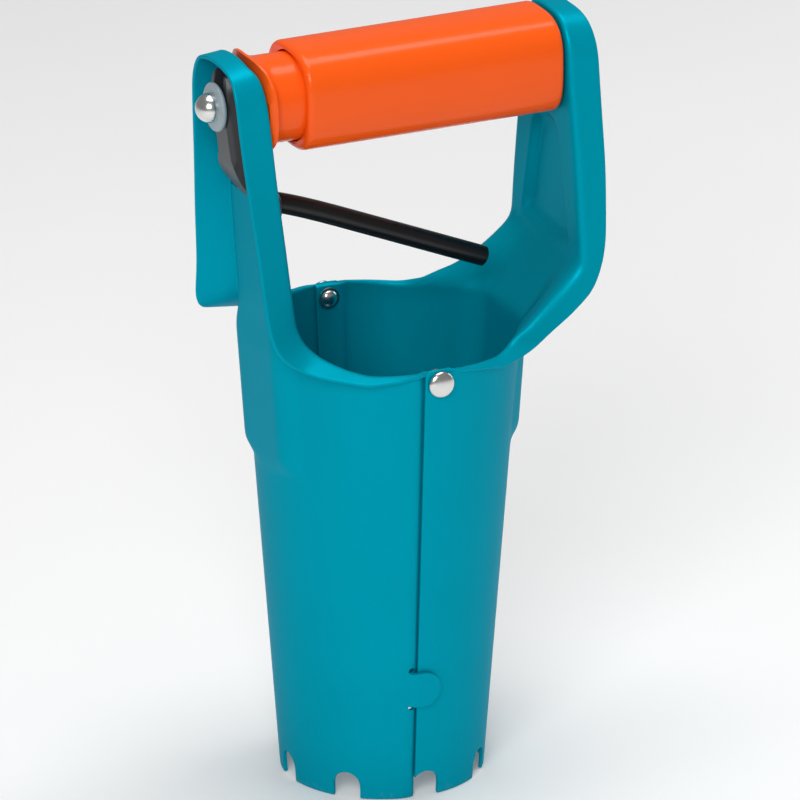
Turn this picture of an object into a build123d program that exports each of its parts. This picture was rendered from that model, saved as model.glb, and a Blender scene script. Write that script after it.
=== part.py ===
from build123d import *
import os
from math import cos, radians, sin

os.makedirs("parts", exist_ok=True)

# A hand bulb planter. The origin is the tube's axis at the height of the tooth tips, +Z is up,
# +X runs along the grip from the lever's side to the plain side, and -Y is the front. Millimetres.

# ---- driving dimensions ----
cut_radius = 32.5             # tube's outer radius at the tooth tips
taper = 0.075                 # outer radius gained per millimetre of height
sheet = 1.2                   # pressed steel sheet
ply_gap = 0.35                # running gap between the overlapping edges
rim_z = 148.5                 # rim of the tube beside the rivets
pivot_z = 144.0               # axis of the two rivets
seam_angle = 6.5              # free edge of an outer ply, in degrees past the middle plane
seam_gap = 1.1                # gap between that edge and the joggle, in degrees
underlap_angle = 5.5          # how far an inner ply runs past the middle plane
joggle_angle = 2.0            # width of the step between the two plies

tooth_gap_width = 8.8
tooth_gap_depth = 8.8
tooth_count = 8

arm_top_z = 247.5
grip_z = 230.5
right_web_x = 58.0            # outer face of the right arm's web
flange_edge_x = 67.0          # free edge of the right arm's flange

shank_radius = 2.5
rivet_head_radius = 4.3
rivet_tail_radius = 2.75
rivet_tail_height = 1.4
rod_radius = 2.5              # tie rod
lever_rod_radius = 3.3
tube_radius = 14.25           # inner tube of the grip
sleeve_half = 16.4            # half thickness of the outer sleeve
sleeve_bore_radius = tube_radius + 0.3
washer_face_x = -58.0         # outer face of the plastic washer that the lever pushes
slot_z = 207.6                # slot in the left web that the lever passes through
slot_width = 19.5
slot_height = 14.0


def tube_r(z):
    """Outer radius of the tapered tube at a height."""
    return cut_radius + taper * z


left_web_x = -tube_r(grip_z)                  # outer face of the left web at the grip's axis
pivot_y = tube_r(pivot_z)


# ---- helpers: each returns one solid for a piece below ----
def cone_band(z_low, z_high, start, end, outer_offset, inner_offset):
    """Part of the tapered wall between two angles, between two offsets from its outer face."""
    low, high = tube_r(z_low), tube_r(z_high)
    with BuildPart() as band:
        with BuildSketch(Plane.XZ.rotated((0, 0, start))):
            with BuildLine():
                Polyline(
                    (low + inner_offset, z_low),
                    (low + outer_offset, z_low),
                    (high + outer_offset, z_high),
                    (high + inner_offset, z_high),
                    close=True,
                )
            make_face()
        revolve(axis=Axis.Z, revolution_arc=end - start)
    return band.part


def rim_lip(start, end):
    """Narrow lip that curls out and down round the rim."""
    rim_r = tube_r(rim_z)
    with BuildPart() as lip:
        with BuildSketch(Plane.XZ.rotated((0, 0, start))):
            with BuildLine():
                Polyline(
                    (rim_r - sheet, rim_z - 1.5),
                    (rim_r - sheet, rim_z),
                    (rim_r + 0.8, rim_z),
                    (rim_r + 3.4, rim_z - 1.4),
                    (rim_r + 3.0, rim_z - 2.4),
                    (rim_r + 0.2, rim_z - 1.5),
                    close=True,
                )
            make_face()
        revolve(axis=Axis.Z, revolution_arc=end - start)
    return lip.part


def radial_plane(angle):
    """Plane on the tube's axis, facing out at an angle, with its own Y axis upwards."""
    a = radians(angle)
    return Plane(origin=(0, 0, 0), x_dir=(-sin(a), cos(a), 0), z_dir=(cos(a), sin(a), 0))


def tooth_gaps():
    """Round-topped gaps between the teeth."""
    straight = tooth_gap_depth - tooth_gap_width / 2
    with BuildPart() as gaps:
        for i in range(tooth_count):
            with BuildSketch(radial_plane(i * 360 / tooth_count)):
                with Locations((0, straight)):
                    Circle(tooth_gap_width / 2)
                with Locations((0, straight / 2 - 2)):
                    Rectangle(tooth_gap_width, straight + 4)
            extrude(amount=60)
    return gaps.part


def arm_outline(side_points):
    """Closed side view of an arm, (Y, Z): its side from the foot upwards, then the arched top."""
    foot_z = side_points[0][1]
    shoulder = side_points[-1]
    with BuildSketch() as outline:
        with BuildLine():
            Polyline((0, foot_z), *side_points)
            ThreePointArc(shoulder, (15.0, 240.0), (8.5, arm_top_z - 0.4))
            Line((8.5, arm_top_z - 0.4), (0, arm_top_z))
            mirror(about=Plane.YZ)
        make_face()
    return outline.sketch_local


def flange(outline, side_view, wall=sheet):
    """Flange round an arm: the outline's rim, cut to the side view's shape in X and Z."""
    with BuildPart() as rim:
        with BuildSketch(Plane.YZ.offset(-75)):
            add(outline)
            offset(amount=-wall, mode=Mode.SUBTRACT)
        extrude(amount=150)
        with BuildSketch(Plane.XZ):
            with BuildLine():
                Polyline(*side_view, close=True)
            make_face()
        extrude(amount=60, both=True, mode=Mode.INTERSECT)
    return rim.part


def web(outline, side_view):
    """Plate of an arm, cut from the outline by the side view of its section."""
    with BuildPart() as plate:
        with BuildSketch(Plane.YZ.offset(-75)):
            add(outline)
        extrude(amount=150)
        with BuildSketch(Plane.XZ):
            with BuildLine():
                Polyline(*side_view, close=True)
            make_face()
        extrude(amount=60, both=True, mode=Mode.INTERSECT)
    return plate.part


def side_pad(half_width, z_low, z_high, side):
    """Flat pressed pad that stands off the round wall and runs up into an arm."""
    with BuildPart() as pad:
        with BuildSketch(Plane.YZ):
            with Locations((0, (z_low + z_high) / 2)):
                RectangleRounded(2 * half_width, z_high - z_low, 6)
        extrude(amount=75 * side)
        with BuildSketch(Plane.XZ):
            with BuildLine():
                Polyline(
                    (0, z_low),
                    (side * (tube_r(z_low) - 0.5), z_low),
                    (side * tube_r(z_low + 6), z_low + 6),
                    (side * tube_r(z_high), z_high),
                    (0, z_high),
                    close=True,
                )
            make_face()
        extrude(amount=60, both=True, mode=Mode.INTERSECT)
        bore = cone_core(z_low - 5, z_high + 5)
        add(bore, mode=Mode.SUBTRACT)
    return pad.part


def cone_core(z_low, z_high, clearance=0):
    """The space inside the sheet, less a clearance."""
    low = tube_r(z_low) - sheet - clearance
    high = tube_r(z_high) - sheet - clearance
    with BuildPart() as core:
        with BuildSketch(Plane.XZ):
            with BuildLine():
                Polyline((0, z_low), (low, z_low), (high, z_high), (0, z_high), close=True)
            make_face()
        revolve(axis=Axis.Z)
    return core.part


def joined(pieces):
    """One solid from touching solids, fused one after another."""
    total = pieces[0]
    for piece in pieces[1:]:
        total = total + piece
    return total


def cap_sphere(radius, height):
    """Radius of the sphere whose cap has this base radius and height."""
    return (radius * radius + height * height) / (2 * height)


def half_wall(turn):
    """Half of the tube with its outer ply at one edge and its joggled inner ply at the other."""
    outer_edge = 90 - seam_angle + turn
    joggle_end = 270 - seam_angle - seam_gap + turn
    inner_edge = 270 + underlap_angle + turn
    inner_face = -2 * sheet - ply_gap
    wall = cone_band(0, rim_z, outer_edge, joggle_end, 0, -sheet)
    joggle = cone_band(0, rim_z, joggle_end - joggle_angle, joggle_end, 0, inner_face)
    inner_ply = cone_band(0, rim_z, joggle_end - joggle_angle, inner_edge, -sheet - ply_gap, inner_face)
    return wall, joggle, inner_ply


def cross_hole(radius, z, y_from, y_to):
    """Cylinder along Y for a rivet hole."""
    with BuildPart() as hole:
        with BuildSketch(Plane.XZ.offset(-y_from)):
            with Locations((0, z)):
                Circle(radius)
        extrude(amount=-(y_to - y_from))
    return hole.part


def funnel(z_low, z_high, low_half, high_half, flat_x):
    """Sheet that leads from an arc of the tube's wall out to the foot of a flat web."""
    radii = (tube_r(z_low), tube_r(z_low) - sheet)
    ends = [(r * r - low_half * low_half) ** 0.5 for r in radii]
    with BuildPart() as sheet_part:
        with BuildSketch(Plane.XY.offset(z_low)):
            with BuildLine():
                ThreePointArc((ends[0], -low_half), (radii[0], 0), (ends[0], low_half))
                Line((ends[0], low_half), (ends[1], low_half))
                ThreePointArc((ends[1], low_half), (radii[1], 0), (ends[1], -low_half))
                Line((ends[1], -low_half), (ends[0], -low_half))
            make_face()
        with BuildSketch(Plane.XY.offset(z_high)):
            with BuildLine():
                Line((flat_x, -high_half), (flat_x, high_half))
                Line((flat_x, high_half), (flat_x - sheet, high_half))
                Line((flat_x - sheet, high_half), (flat_x - sheet, -high_half))
                Line((flat_x - sheet, -high_half), (flat_x, -high_half))
            make_face()
        loft(ruled=True)
    return sheet_part.part


# ---- left shell: root of the assembly; its arm is the tube's own wall carried upwards ----
left_outline = arm_outline((
    (39.0, rim_z - 2),
    (39.0, rim_z),
    (30.3, 152.4),
    (23.2, 156.0),
    (20.6, 161.4),
    (20.6, 173.3),
    (17.1, 225.0),
))
left_flange_view = (
    (-24.0, 150.0),
    (-40.0, 151.5),
    (-47.0, 153.8),
    (-52.2, 157.4),
    (-54.2, 168.0),
    (-53.8, 190.0),
    (-57.1, 229.7),
    (-57.4, 244.0),
    (-57.0, 250.0),
    (-24.0, 250.0),
)
with BuildPart() as left_arm:
    with BuildSketch(Plane.YZ):
        add(left_outline)
    extrude(amount=-75)
    add(cone_band(rim_z - 2, 250, 110, 250, 0, -sheet), mode=Mode.INTERSECT)
left_flange = flange(left_outline, left_flange_view) - cone_core(140, 260)

# the tab that laps over the right shell near the front bottom edge
tab_gap = 0.4
tab_z = 38.4
tab_half_height = 5.9
with BuildPart() as tab:
    add(cone_band(30, 47, 270 - 12, 270 + 8, tab_gap + sheet, tab_gap))
    with BuildSketch(Plane.XZ):
        with Locations((-7, tab_z)):
            Rectangle(2 * 7 + 1, 2 * tab_half_height)
        with Locations((-2.3, tab_z)):
            Circle(tab_half_height)
    extrude(amount=60, mode=Mode.INTERSECT)
    add(cone_band(tab_z - tab_half_height, tab_z + tab_half_height, 270 - 12, 270 - 9.5, tab_gap + sheet, -0.4))

left_sheet = joined([
    *half_wall(0),
    left_arm.part,
    left_flange,
    side_pad(17, 109, 152, -1),
    rim_lip(95, 128),
    rim_lip(232, 259),
    tab.part,
])
with BuildPart() as left_cuts:
    add(tooth_gaps())
    add(cross_hole(shank_radius, pivot_z, -60, -30))
    add(cross_hole(shank_radius, pivot_z, 30, 60))
    with BuildSketch(Plane.YZ.offset(-60)):
        with Locations((0, slot_z)):
            RectangleRounded(slot_width, slot_height, 1.5)
        with Locations((0, grip_z)):
            Circle(4.2)
    extrude(amount=20)
with BuildPart() as left_shell:
    add(left_sheet)
    for cut in left_cuts.part.solids():
        add(cut, mode=Mode.SUBTRACT, clean=False)
left_shell.part.label = "left_shell"
export_step(left_shell.part, "parts/left_shell.step")


# ---- right shell: funnels out to an upright arm ----
right_outline = arm_outline((
    (27.6, 143.0),
    (26.8, 169.0),
    (22.4, 200.4),
    (17.1, 225.0),
))
funnel_low_z = 146.5
funnel_high_z = 169.0
right_web_view = (
    (right_web_x, 167.5),
    (right_web_x, 250),
    (right_web_x - sheet, 250),
    (right_web_x - sheet, 167.5),
)
right_flange_view = (
    (32.6, 145.9),
    (right_web_x - sheet, 169),
    (right_web_x - sheet, 250),
    (64.2, 250),
    (66.8, 240.5),
    (flange_edge_x, 187),
    (65.8, 170.7),
    (63.3, 162.7),
    (59.8, 156.4),
    (52.9, 150.8),
    (42.8, 145.7),
    (36.4, 143.3),
)

right_sheet = joined([
    *half_wall(180),
    funnel(funnel_low_z, funnel_high_z, 27.6, 26.8, right_web_x),
    side_pad(17, 109, 146, 1),
    web(right_outline, right_web_view),
    flange(right_outline, right_flange_view),
    rim_lip(-80, -38),
    rim_lip(38, 79),
])
with BuildPart() as right_cuts:
    add(tooth_gaps())
    add(cross_hole(shank_radius + 0.08, pivot_z, -60, -30))
    add(cross_hole(shank_radius + 0.08, pivot_z, 30, 60))
    with BuildSketch(Plane.YZ.offset(45)):
        with Locations((0, grip_z)):
            Circle(3.4)
    extrude(amount=30)
with BuildPart() as right_shell:
    add(right_sheet)
    for cut in right_cuts.part.solids():
        add(cut, mode=Mode.SUBTRACT, clean=False)
right_shell.part.label = "right_shell"
export_step(right_shell.part, "parts/right_shell.step")


# ---- the two hinge rivets, each with a washer under its formed tail ----
head_under = pivot_y + 0.45
ply_inner = pivot_y - 2 * sheet - ply_gap - 0.45
washer_thickness = 0.8
tail = ply_inner - washer_thickness
for side, place in ((-1, "front"), (1, "rear")):
    with BuildPart() as rivet:
        with BuildSketch(Plane.YZ):
            with BuildLine():
                RadiusArc(
                    (tail - rivet_tail_height, 0),
                    (tail, rivet_tail_radius),
                    cap_sphere(rivet_tail_radius, rivet_tail_height),
                )
                Polyline(
                    (tail, rivet_tail_radius),
                    (tail, shank_radius),
                    (head_under, shank_radius),
                    (head_under, rivet_head_radius),
                    (head_under + 0.5, rivet_head_radius),
                )
                RadiusArc(
                    (head_under + 0.5, rivet_head_radius),
                    (head_under + 2.3, 0),
                    cap_sphere(rivet_head_radius, 1.8),
                )
                Line((head_under + 2.3, 0), (tail - rivet_tail_height, 0))
            make_face()
        revolve(axis=Axis.Y)
    with BuildPart() as tail_washer:
        with BuildSketch(Plane.XZ.offset(-tail)):
            Circle(3.5)
            Circle(shank_radius, mode=Mode.SUBTRACT)
        extrude(amount=-washer_thickness)
    turned = 0 if side > 0 else 180
    rivet_place = Location((0, 0, pivot_z), (0, 0, turned))
    rivet_solid = rivet.part.moved(rivet_place)
    rivet_solid.label = place + "_hinge_rivet"
    export_step(rivet_solid, "parts/" + place + "_hinge_rivet.step")
    washer_solid = tail_washer.part.moved(rivet_place)
    washer_solid.label = place + "_rivet_washer"
    export_step(washer_solid, "parts/" + place + "_rivet_washer.step")


# ---- grip: an inner tube on the left arm, and a sleeve that slides over it ----
tube_left_x = left_web_x + sheet + 0.4
collar_thickness = 5.4
seat_depth = 7.0                              # from the tube's left end to the spring seat
tube_end_x = 38.0
tube_bore_radius = 11.5

web_clearance = 0.4
full_tilt = 3.6
web_side = cone_core(190, 270, web_clearance)
tilt_axis = Axis((left_web_x, 0, grip_z), (0, 1, 0))
web_side_tilted = web_side.rotate(tilt_axis, full_tilt)
with BuildPart() as collar:
    with BuildSketch(Plane.YZ.offset(-75)):
        add(left_outline)
        offset(amount=-1.8, mode=Mode.REPLACE)
        with Locations((0, 165)):
            Rectangle(120, 101, mode=Mode.SUBTRACT)
    extrude(amount=75 + tube_left_x + collar_thickness)

with BuildPart() as inner_tube:
    add(collar.part)
    with BuildSketch(Plane.YZ.offset(tube_left_x)):
        with Locations((0, grip_z)):
            Circle(tube_radius)
    extrude(amount=tube_end_x - tube_left_x)
    with BuildSketch(Plane.YZ.offset(tube_left_x + seat_depth)):
        with Locations((0, grip_z)):
            Circle(tube_bore_radius)
    extrude(amount=tube_end_x - tube_left_x, mode=Mode.SUBTRACT)
    with BuildSketch(Plane.YZ.offset(-75)):
        with Locations((0, grip_z)):
            Circle(3.2)
    extrude(amount=150, mode=Mode.SUBTRACT)
    add(web_side, mode=Mode.INTERSECT)
    add(web_side_tilted, mode=Mode.INTERSECT)
inner_tube.part.label = "inner_tube"
export_step(inner_tube.part, "parts/inner_tube.step")

sleeve_left_x = -32.4
sleeve_right_x = right_web_x - sheet - 1.0
spigot_radius = 9.0
spigot_left_x = 30.0
with BuildPart() as grip_sleeve:
    with BuildSketch(Plane.YZ.offset(sleeve_left_x)):
        with Locations((0, grip_z)):
            RectangleRounded(2 * sleeve_half, 2 * sleeve_half, 11.5)
    extrude(amount=sleeve_right_x - sleeve_left_x)
    fillet(grip_sleeve.faces().sort_by(Axis.X)[0].edges(), radius=1.2)
    fillet(grip_sleeve.faces().sort_by(Axis.X)[-1].edges(), radius=0.8)
    with BuildSketch(Plane.YZ.offset(sleeve_left_x)):
        with Locations((0, grip_z)):
            Circle(sleeve_bore_radius)
    extrude(amount=sleeve_right_x - sleeve_left_x - 4, mode=Mode.SUBTRACT)
    with BuildSketch(Plane.YZ.offset(spigot_left_x)):
        with Locations((0, grip_z)):
            Circle(spigot_radius)
    extrude(amount=sleeve_right_x - spigot_left_x - 2)
    with BuildSketch(Plane.YZ.offset(sleeve_left_x)):
        with Locations((0, grip_z)):
            Circle(rod_radius)
    extrude(amount=sleeve_right_x - sleeve_left_x, mode=Mode.SUBTRACT)
grip_sleeve.part.label = "grip_sleeve"
export_step(grip_sleeve.part, "parts/grip_sleeve.step")


# ---- turned pieces on the grip's axis ----
def turned_piece(name, x_from, x_to, outer, inner):
    """Round piece on the grip's axis, with a hole unless inner is zero."""
    with BuildPart() as piece:
        with BuildSketch(Plane.YZ.offset(x_from)):
            with Locations((0, grip_z)):
                Circle(outer)
                if inner > 0:
                    Circle(inner, mode=Mode.SUBTRACT)
        extrude(amount=x_to - x_from)
    piece.part.label = name
    export_step(piece.part, "parts/" + name + ".step")


dome_radius = 4.75
dome_centre_x = washer_face_x - 1.7
seat_thickness = 1.2
spring_left_x = tube_left_x + seat_depth + seat_thickness
spring_right_x = spigot_left_x - seat_thickness
nut_x = right_web_x + 0.5

turned_piece("tie_rod", dome_centre_x, right_web_x + 7.0, rod_radius, 0)
turned_piece("pull_washer", washer_face_x, washer_face_x + 1.6, 7.85, rod_radius)
turned_piece("left_spring_seat", tube_left_x + seat_depth, spring_left_x, 10.8, rod_radius + 0.7)
turned_piece("right_spring_seat", spring_right_x, spigot_left_x, 8.8, rod_radius)
turned_piece("rod_washer", nut_x, nut_x + 1.2, 6.5, rod_radius)

with BuildPart() as rod_dome:
    with BuildSketch(Plane.XY.offset(grip_z)):
        with BuildLine():
            CenterArc((dome_centre_x, 0), dome_radius, 90, 90)
            Line((dome_centre_x - dome_radius, 0), (washer_face_x, 0))
            Line((washer_face_x, 0), (washer_face_x, dome_radius))
            Line((washer_face_x, dome_radius), (dome_centre_x, dome_radius))
        make_face()
    revolve(axis=Axis((0, 0, grip_z), (1, 0, 0)))
    with BuildSketch(Plane.YZ.offset(dome_centre_x)):
        with Locations((0, grip_z)):
            Circle(rod_radius)
    extrude(amount=10, mode=Mode.SUBTRACT)
rod_dome.part.label = "rod_dome"
export_step(rod_dome.part, "parts/rod_dome.step")

with BuildPart() as rod_nut:
    with BuildSketch(Plane.YZ.offset(nut_x + 1.2)):
        with Locations((0, grip_z)):
            RegularPolygon(radius=4.6, side_count=6)
            Circle(rod_radius, mode=Mode.SUBTRACT)
    extrude(amount=4.0)
rod_nut.part.label = "rod_nut"
export_step(rod_nut.part, "parts/rod_nut.step")

# compression spring round the tie rod, from seat to seat
spring_radius = 6.2
wire_radius = 0.7
spring_turns = 9
end_gap = wire_radius + 0.2
spring_length = spring_right_x - spring_left_x - 2 * end_gap
with BuildPart() as return_spring:
    with BuildLine() as coil:
        Helix(
            pitch=spring_length / spring_turns,
            height=spring_length,
            radius=spring_radius,
            center=(spring_left_x + end_gap, 0, grip_z),
            direction=(1, 0, 0),
        )
    with BuildSketch(Plane(coil.line @ 0, z_dir=coil.line % 0)):
        Circle(wire_radius)
    sweep(is_frenet=True)
return_spring.part.label = "return_spring"
export_step(return_spring.part, "parts/return_spring.step")


# ---- release lever: a trough in the left channel that passes through the slot ----
lever_side_view = (
    (-56.2, 243.0),
    (-56.2, 224.0),
    (-53.3, 212.8),
    (-50.0, 205.2),
    (-48.2, 201.3),
    (-44.6, 201.1),
    (-44.4, 193.2),
    (-38.0, 191.0),
    (-35.6, 198.8),
    (-42.0, 205.5),
    (-47.6, 210.6),
    (-49.3, 213.5),
    (-51.5, 243.0),
)
with BuildPart() as release_lever:
    with BuildSketch(Plane.XZ):
        with BuildLine():
            Polyline(*lever_side_view, close=True)
        make_face()
    extrude(amount=20, both=True)
    with BuildSketch(Plane.YZ.offset(-75)):
        with BuildLine():
            Polyline((0, 190), (6.5, 190), (6.5, 199), (9.0, 203), (9.0, 208), (8.6, 234))
            ThreePointArc((8.6, 234), (6.4, 240.2), (0, 242.8))
            mirror(about=Plane.YZ)
        make_face()
    extrude(amount=150, mode=Mode.INTERSECT)
    with BuildSketch(Plane.YZ.offset(-75)):
        with Locations((0, grip_z)):
            Circle(3.3)
        with Locations((0, grip_z + 8)):
            Rectangle(6.6, 16)
    extrude(amount=150, mode=Mode.SUBTRACT)
    with BuildSketch(Plane.XZ):
        with BuildLine():
            Polyline(
                (-54.2, 225),
                (-51.4, 214.0),
                (-48.6, 208.5),
                (-47.0, 212.0),
                (-48.0, 225),
                close=True,
            )
        make_face()
    extrude(amount=6.8, both=True, mode=Mode.SUBTRACT)

# bent rod that the fingers squeeze
rod_start = (-44.0, 0, 197.9)
rod_bend = (-30.8, 0, 194.2)
rod_tip = (35.6, 0, 166.2)
with BuildPart() as lever_rod:
    with BuildLine() as rod_path:
        FilletPolyline(rod_start, rod_bend, rod_tip, radius=35)
    with BuildSketch(Plane(rod_path.line @ 0, z_dir=rod_path.line % 0)):
        Circle(lever_rod_radius)
    sweep()
lever_rod.part.label = "lever_rod"
export_step(lever_rod.part, "parts/lever_rod.step")

release_lever.part = release_lever.part - lever_rod.part
release_lever.part.label = "release_lever"
export_step(release_lever.part, "parts/release_lever.step")
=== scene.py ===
"""Hand bulb planter: the look of each piece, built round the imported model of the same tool."""

from math import radians

import bpy
import numpy as np
from bpy.props import FloatProperty, FloatVectorProperty, IntProperty, PointerProperty
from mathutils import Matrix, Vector


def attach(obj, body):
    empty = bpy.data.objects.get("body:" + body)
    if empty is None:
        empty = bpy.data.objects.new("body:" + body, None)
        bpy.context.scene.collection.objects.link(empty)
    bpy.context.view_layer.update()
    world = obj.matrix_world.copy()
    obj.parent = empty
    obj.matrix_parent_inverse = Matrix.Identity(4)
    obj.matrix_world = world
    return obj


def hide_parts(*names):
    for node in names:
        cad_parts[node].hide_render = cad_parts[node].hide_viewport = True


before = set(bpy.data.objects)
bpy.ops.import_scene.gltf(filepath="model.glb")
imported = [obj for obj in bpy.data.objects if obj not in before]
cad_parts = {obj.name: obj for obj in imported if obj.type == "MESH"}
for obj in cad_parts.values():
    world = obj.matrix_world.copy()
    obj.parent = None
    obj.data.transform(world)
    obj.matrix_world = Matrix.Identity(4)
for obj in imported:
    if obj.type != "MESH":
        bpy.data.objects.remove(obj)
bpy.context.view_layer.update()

bl_info = {
    "name": "Bulb Planter",
    "version": (1, 0, 0),
    "blender": (4, 5, 0),
    "location": "View3D > Sidebar > Planter",
    "description": "Builds the shells, grip, lever and fixings of a hand bulb planter",
    "category": "Add Mesh",
}

# Shapes are worked out in millimetres, in the model's own frame, and become metres in the mesh.
MM = 0.001
CUT_RADIUS = 32.5            # tube's outer radius at the tooth tips
TAPER = 0.075                # radius gained per millimetre of height
PLY_STEP = 1.55              # how far the inner ply is joggled in
OUTER_PLY_END = -96.5        # degrees from the middle of a half
INNER_PLY_END = 95.5
TOOTH_GAP = 4.4              # half width of a gap, and the radius of its top
CORNER_HOLD = 0.45           # extra points this far from a tooth's corners keep them crisp
TIP_LIFT = 0.08              # keeps the rounded tips off the floor
RIM_RADIUS = 43.0            # tube's radius near the rim, which turns angles into distances
GRIP_Z = 230.5
PIVOT_Z = 144.0
RIGHT_WEB_X = 58.0


# ---- shape helpers ----
def step(values, start, end):
    """Smooth step: 0 before start, 1 after end, 3t squared less 2t cubed between them."""
    t = np.clip((values - start) / (end - start), 0, 1)
    return t * t * (3 - 2 * t)


def eased(knots, values, at, reach):
    """Straight runs between knots, corners rounded: each value is the mean over a short span."""
    half = np.minimum(reach, np.minimum(at - knots[0], knots[-1] - at))
    spans = at[:, None] + half[:, None] * np.linspace(-1, 1, 17)
    table = np.asarray(values, float)
    return np.stack([np.interp(spans, knots, column).mean(axis=1) for column in table.T], axis=1)


def tube_radius(z):
    """Outer radius of the tapered tube: the cutting radius plus the taper times the height."""
    return CUT_RADIUS + TAPER * z


def grid_faces(rows, columns, wrap):
    """Quads of a grid as corner numbers; the last column joins the first if it wraps."""
    across = columns if wrap else columns - 1
    row, column = np.meshgrid(np.arange(rows - 1), np.arange(across), indexing="ij")
    after = (column + 1) % columns
    corners = (
        row * columns + column,
        row * columns + after,
        (row + 1) * columns + after,
        (row + 1) * columns + column,
    )
    return np.stack(corners, axis=-1).reshape(-1, 4)


def signed_volume(points, faces):
    """Volume inside a closed skin, from the pyramids between the origin and half of each quad."""
    corner = points[faces]
    first = np.einsum("ij,ij->i", corner[:, 0], np.cross(corner[:, 1], corner[:, 2]))
    second = np.einsum("ij,ij->i", corner[:, 0], np.cross(corner[:, 2], corner[:, 3]))
    return (first.sum() + second.sum()) / 6


def new_object(name, points, polygons, smooth_angle):
    """A mesh object at the origin from points in millimetres, smooth up to an edge angle."""
    mesh = bpy.data.meshes.new(name)
    mesh.from_pydata((points * MM).tolist(), [], polygons)
    mesh.validate()
    mesh.shade_smooth()
    mesh.set_sharp_from_angle(angle=radians(smooth_angle))
    made = bpy.data.objects.new(name, mesh)
    bpy.context.scene.collection.objects.link(made)
    return made


def ringed_object(name, rings, smooth_angle=40):
    """Closed skin through rings of points, with a flat fan of one polygon over each end ring."""
    rows, columns = rings.shape[:2]
    points = rings.reshape(-1, 3)
    faces = grid_faces(rows, columns, True)
    ends = [list(range(columns))[::-1], list(range((rows - 1) * columns, rows * columns))]
    if signed_volume(points, faces) < 0:
        faces = faces[:, ::-1]
        ends = [end[::-1] for end in ends]
    return new_object(name, points, faces.tolist() + ends, smooth_angle)


def torus_object(name, rings, smooth_angle=40):
    """Closed skin through rings where the last ring joins the first, as in a washer."""
    rows, columns = rings.shape[:2]
    closed = np.concatenate([rings, rings[:1]])
    faces = grid_faces(rows + 1, columns, True) % (rows * columns)
    points = closed[:-1].reshape(-1, 3)
    if signed_volume(points, faces) < 0:
        faces = faces[:, ::-1]
    return new_object(name, points, faces.tolist(), smooth_angle)


def turned(profile, origin, axis, segments=72):
    """Rings of a turned shape: each (distance along, radius) swept in a circle round the axis."""
    along, radius = np.asarray(profile, float).T
    turn = np.linspace(0, 2 * np.pi, segments, endpoint=False)
    side = Vector(axis).orthogonal().normalized()
    other = np.cross(axis, side)
    circle = np.cos(turn)[:, None] * np.array(side) + np.sin(turn)[:, None] * other
    centres = np.array(origin) + along[:, None] * np.array(axis)
    return centres[:, None] + radius[:, None, None] * circle[None]


def frozen(made):
    """Turns an object's modifiers into its own mesh."""
    depsgraph = bpy.context.evaluated_depsgraph_get()
    depsgraph.update()
    mesh = bpy.data.meshes.new_from_object(made.evaluated_get(depsgraph))
    made.modifiers.clear()
    made.data = mesh
    return made


def carved(made, cutters, smooth_angle):
    """Cuts closed objects out of a piece, and removes them."""
    for cutter in cutters:
        cut = made.modifiers.new("Cut", "BOOLEAN")
        cut.operation = "DIFFERENCE"
        cut.solver = "EXACT"
        cut.object = cutter
    frozen(made)
    for cutter in cutters:
        bpy.data.objects.remove(cutter)
    made.data.set_sharp_from_angle(angle=radians(smooth_angle))
    return made


def block(name, low, high):
    """Plain box used as a cutter, from its lowest to its highest corner."""
    low, high = np.array(low, float), np.array(high, float)
    ring = np.array([(0, 0), (1, 0), (1, 1), (0, 1)], float)
    rings = np.stack([np.column_stack([np.full(4, x), ring]) for x in (0.0, 1.0)])
    return ringed_object(name, low + rings * (high - low))


# ---- the two pressed halves ----
def tooth_line(start, end):
    """Lower edge of a half as (angle, height), with a fractional place that is even along it.

    One period is half a tooth tip, a gap's straight side, its half-round top, and the same back.
    """
    tip = np.linspace(-np.pi * CUT_RADIUS / 8, -TOOTH_GAP - CORNER_HOLD, 4)
    rise = np.append(0, np.linspace(CORNER_HOLD, TOOTH_GAP, 4)[:-1])
    turn = np.linspace(np.pi, 0, 13)
    across = np.concatenate([tip, np.full(4, -TOOTH_GAP), TOOTH_GAP * np.cos(turn)])
    height = np.concatenate([0 * tip, rise, TOOTH_GAP + TOOTH_GAP * np.sin(turn)])
    across = np.concatenate([across, np.full(4, TOOTH_GAP), -tip[::-1]])
    height = np.concatenate([height, rise[::-1], 0 * tip])[:-1]
    across = across[:-1]
    count = len(across)
    middles = 45.0 * np.arange(-3, 4)
    angles = (middles[:, None] + np.degrees(across / CUT_RADIUS)[None]).ravel()
    heights = np.tile(height, len(middles)) + TIP_LIFT
    places = (middles[:, None] + 45.0 * (np.arange(count) / count - 0.5)[None]).ravel()
    hold = 0.6
    inner = (angles > start + 2 * hold) & (angles < end - 2 * hold)
    edge = np.array([start, start + hold, end - hold, end])
    edge_heights = np.interp(edge, angles, heights)
    edge_places = np.interp(edge, angles, places)
    angles = np.concatenate([edge[:2], angles[inner], edge[2:]])
    heights = np.concatenate([edge_heights[:2], heights[inner], edge_heights[2:]])
    places = np.concatenate([edge_places[:2], places[inner], edge_places[2:]])
    even = start + (places - places[0]) / (places[-1] - places[0]) * (end - start)
    even[1] = start + hold
    even[-2] = end - hold
    return angles, heights, even


def rim_row(share, angle, z, width, drop, fold):
    """A place on the rim: the lip's free edge stands out by a width and down by a drop."""
    radius = tube_radius(z) - 1.2
    a = radians(angle)
    edge = ((radius + width) * np.cos(a), (radius + width) * np.sin(a), z - drop)
    return (share, angle, z, *edge, fold)


def arm_row(share, y, z, edge_x, edge_z, fold, edge_y=None):
    """A place on an arm's side or arch: the flange's free edge is out along X from the fold."""
    angle = np.degrees(np.arcsin(y / (tube_radius(z) - 1.2)))
    return (share, angle, z, edge_x, y if edge_y is None else edge_y, edge_z, fold)


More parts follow.
